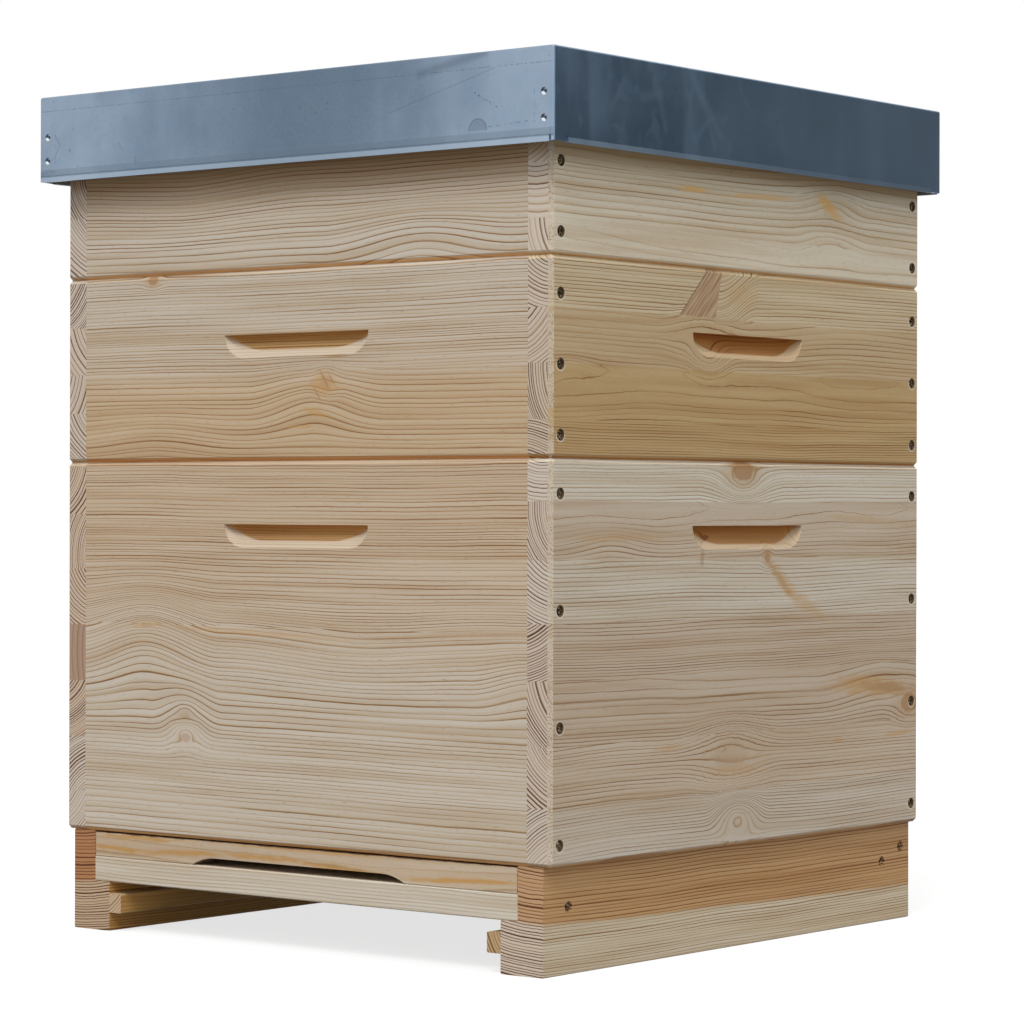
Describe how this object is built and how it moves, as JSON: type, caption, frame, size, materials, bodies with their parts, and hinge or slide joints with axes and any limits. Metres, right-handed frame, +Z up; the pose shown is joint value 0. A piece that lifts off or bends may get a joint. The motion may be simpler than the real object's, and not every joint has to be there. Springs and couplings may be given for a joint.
{
  "type": "beehive",
  "caption": "Square box beehive with a screened floor, brood box, honey super, cover box, hanging frames and a sheet-metal cap roof, for keeping bees and taking honey.",
  "frame": {"origin": "on the ground, under the middle of the hive", "axes": "+Z up, the entrance faces -Y, +X to the hive's right side as seen by someone who faces the entrance"},
  "size_m": [0.5358, 0.5332, 0.6798],
  "materials": {
    "box_wood": "planed edge-glued pine boards, unpainted",
    "floor_wood": "planed pine, redder heartwood above",
    "frame_wood": "planed lime wood",
    "cover_wood": "sanded birch plywood and turned pine",
    "beeswax": "pressed beeswax sheet with cell bases",
    "roof_zinc": "galvanised sheet, dull blue grey",
    "rivet_metal": "bright dome rivets",
    "screw_steel": "yellow zinc plated screws",
    "mesh_wire": "plain woven steel wire"
  },
  "bodies": {
    "floor": {"floor_mesh": "mesh_wire", "floor_screws": "screw_steel", "front_sill": "floor_wood", "mesh_staples": "mesh_wire", "rail_left": "floor_wood", "rail_right": "floor_wood", "rear_batten": "floor_wood", "rear_board": "floor_wood", "side_batten_left": "floor_wood", "side_batten_right": "floor_wood", "tray_runner_left": "floor_wood", "tray_runner_right": "floor_wood"},
    "entrance_bar": {"entrance_bar": "floor_wood"},
    "brood_box": {"brood_back": "box_wood", "brood_front": "box_wood", "brood_left": "box_wood", "brood_right": "box_wood", "brood_screws": "screw_steel"},
    "brood_frames": {"brood_foundations": "beeswax", "brood_frame_01": "frame_wood", "brood_frame_02": "frame_wood", "brood_frame_03": "frame_wood", "brood_frame_04": "frame_wood", "brood_frame_05": "frame_wood", "brood_frame_06": "frame_wood", "brood_frame_07": "frame_wood", "brood_frame_08": "frame_wood", "brood_frame_09": "frame_wood", "brood_frame_10": "frame_wood", "brood_frame_11": "frame_wood", "brood_frame_12": "frame_wood"},
    "super_box": {"super_back": "box_wood", "super_front": "box_wood", "super_left": "box_wood", "super_right": "box_wood", "super_screws": "screw_steel"},
    "super_frames": {"super_foundations": "beeswax", "super_frame_01": "frame_wood", "super_frame_02": "frame_wood", "super_frame_03": "frame_wood", "super_frame_04": "frame_wood", "super_frame_05": "frame_wood", "super_frame_06": "frame_wood", "super_frame_07": "frame_wood", "super_frame_08": "frame_wood", "super_frame_09": "frame_wood", "super_frame_10": "frame_wood", "super_frame_11": "frame_wood", "super_frame_12": "frame_wood"},
    "cover_box": {"cover_back": "box_wood", "cover_front": "box_wood", "cover_left": "box_wood", "cover_right": "box_wood", "cover_screws": "screw_steel", "inner_cover": "cover_wood"},
    "feed_plug": {"feed_plug": "cover_wood"},
    "roof": {"roof_rivets": "rivet_metal", "roof_sheet": "roof_zinc"}
  },
  "joints": [
    {"name": "entrance_bar_slide", "type": "slide", "parent": "floor", "child": "entrance_bar", "axis": [0, -1, 0], "range_m": [0, 0.12]},
    {"name": "brood_box_lift", "type": "slide", "parent": "floor", "child": "brood_box", "axis": [0, 0, 1], "range_m": [0, 0.2]},
    {"name": "brood_frames_lift", "type": "slide", "parent": "brood_box", "child": "brood_frames", "axis": [0, 0, 1], "range_m": [0, 0.32]},
    {"name": "super_lift", "type": "slide", "parent": "brood_frames", "child": "super_box", "axis": [0, 0, 1], "range_m": [0, 0.2]},
    {"name": "super_frames_lift", "type": "slide", "parent": "super_box", "child": "super_frames", "axis": [0, 0, 1], "range_m": [0, 0.17]},
    {"name": "cover_box_lift", "type": "slide", "parent": "super_frames", "child": "cover_box", "axis": [0, 0, 1], "range_m": [0, 0.2]},
    {"name": "feed_plug_lift", "type": "slide", "parent": "cover_box", "child": "feed_plug", "axis": [0, 0, 1], "range_m": [0, 0.06]},
    {"name": "roof_lift", "type": "slide", "parent": "cover_box", "child": "roof", "axis": [0, 0, 1], "range_m": [0, 0.15]}
  ]
}
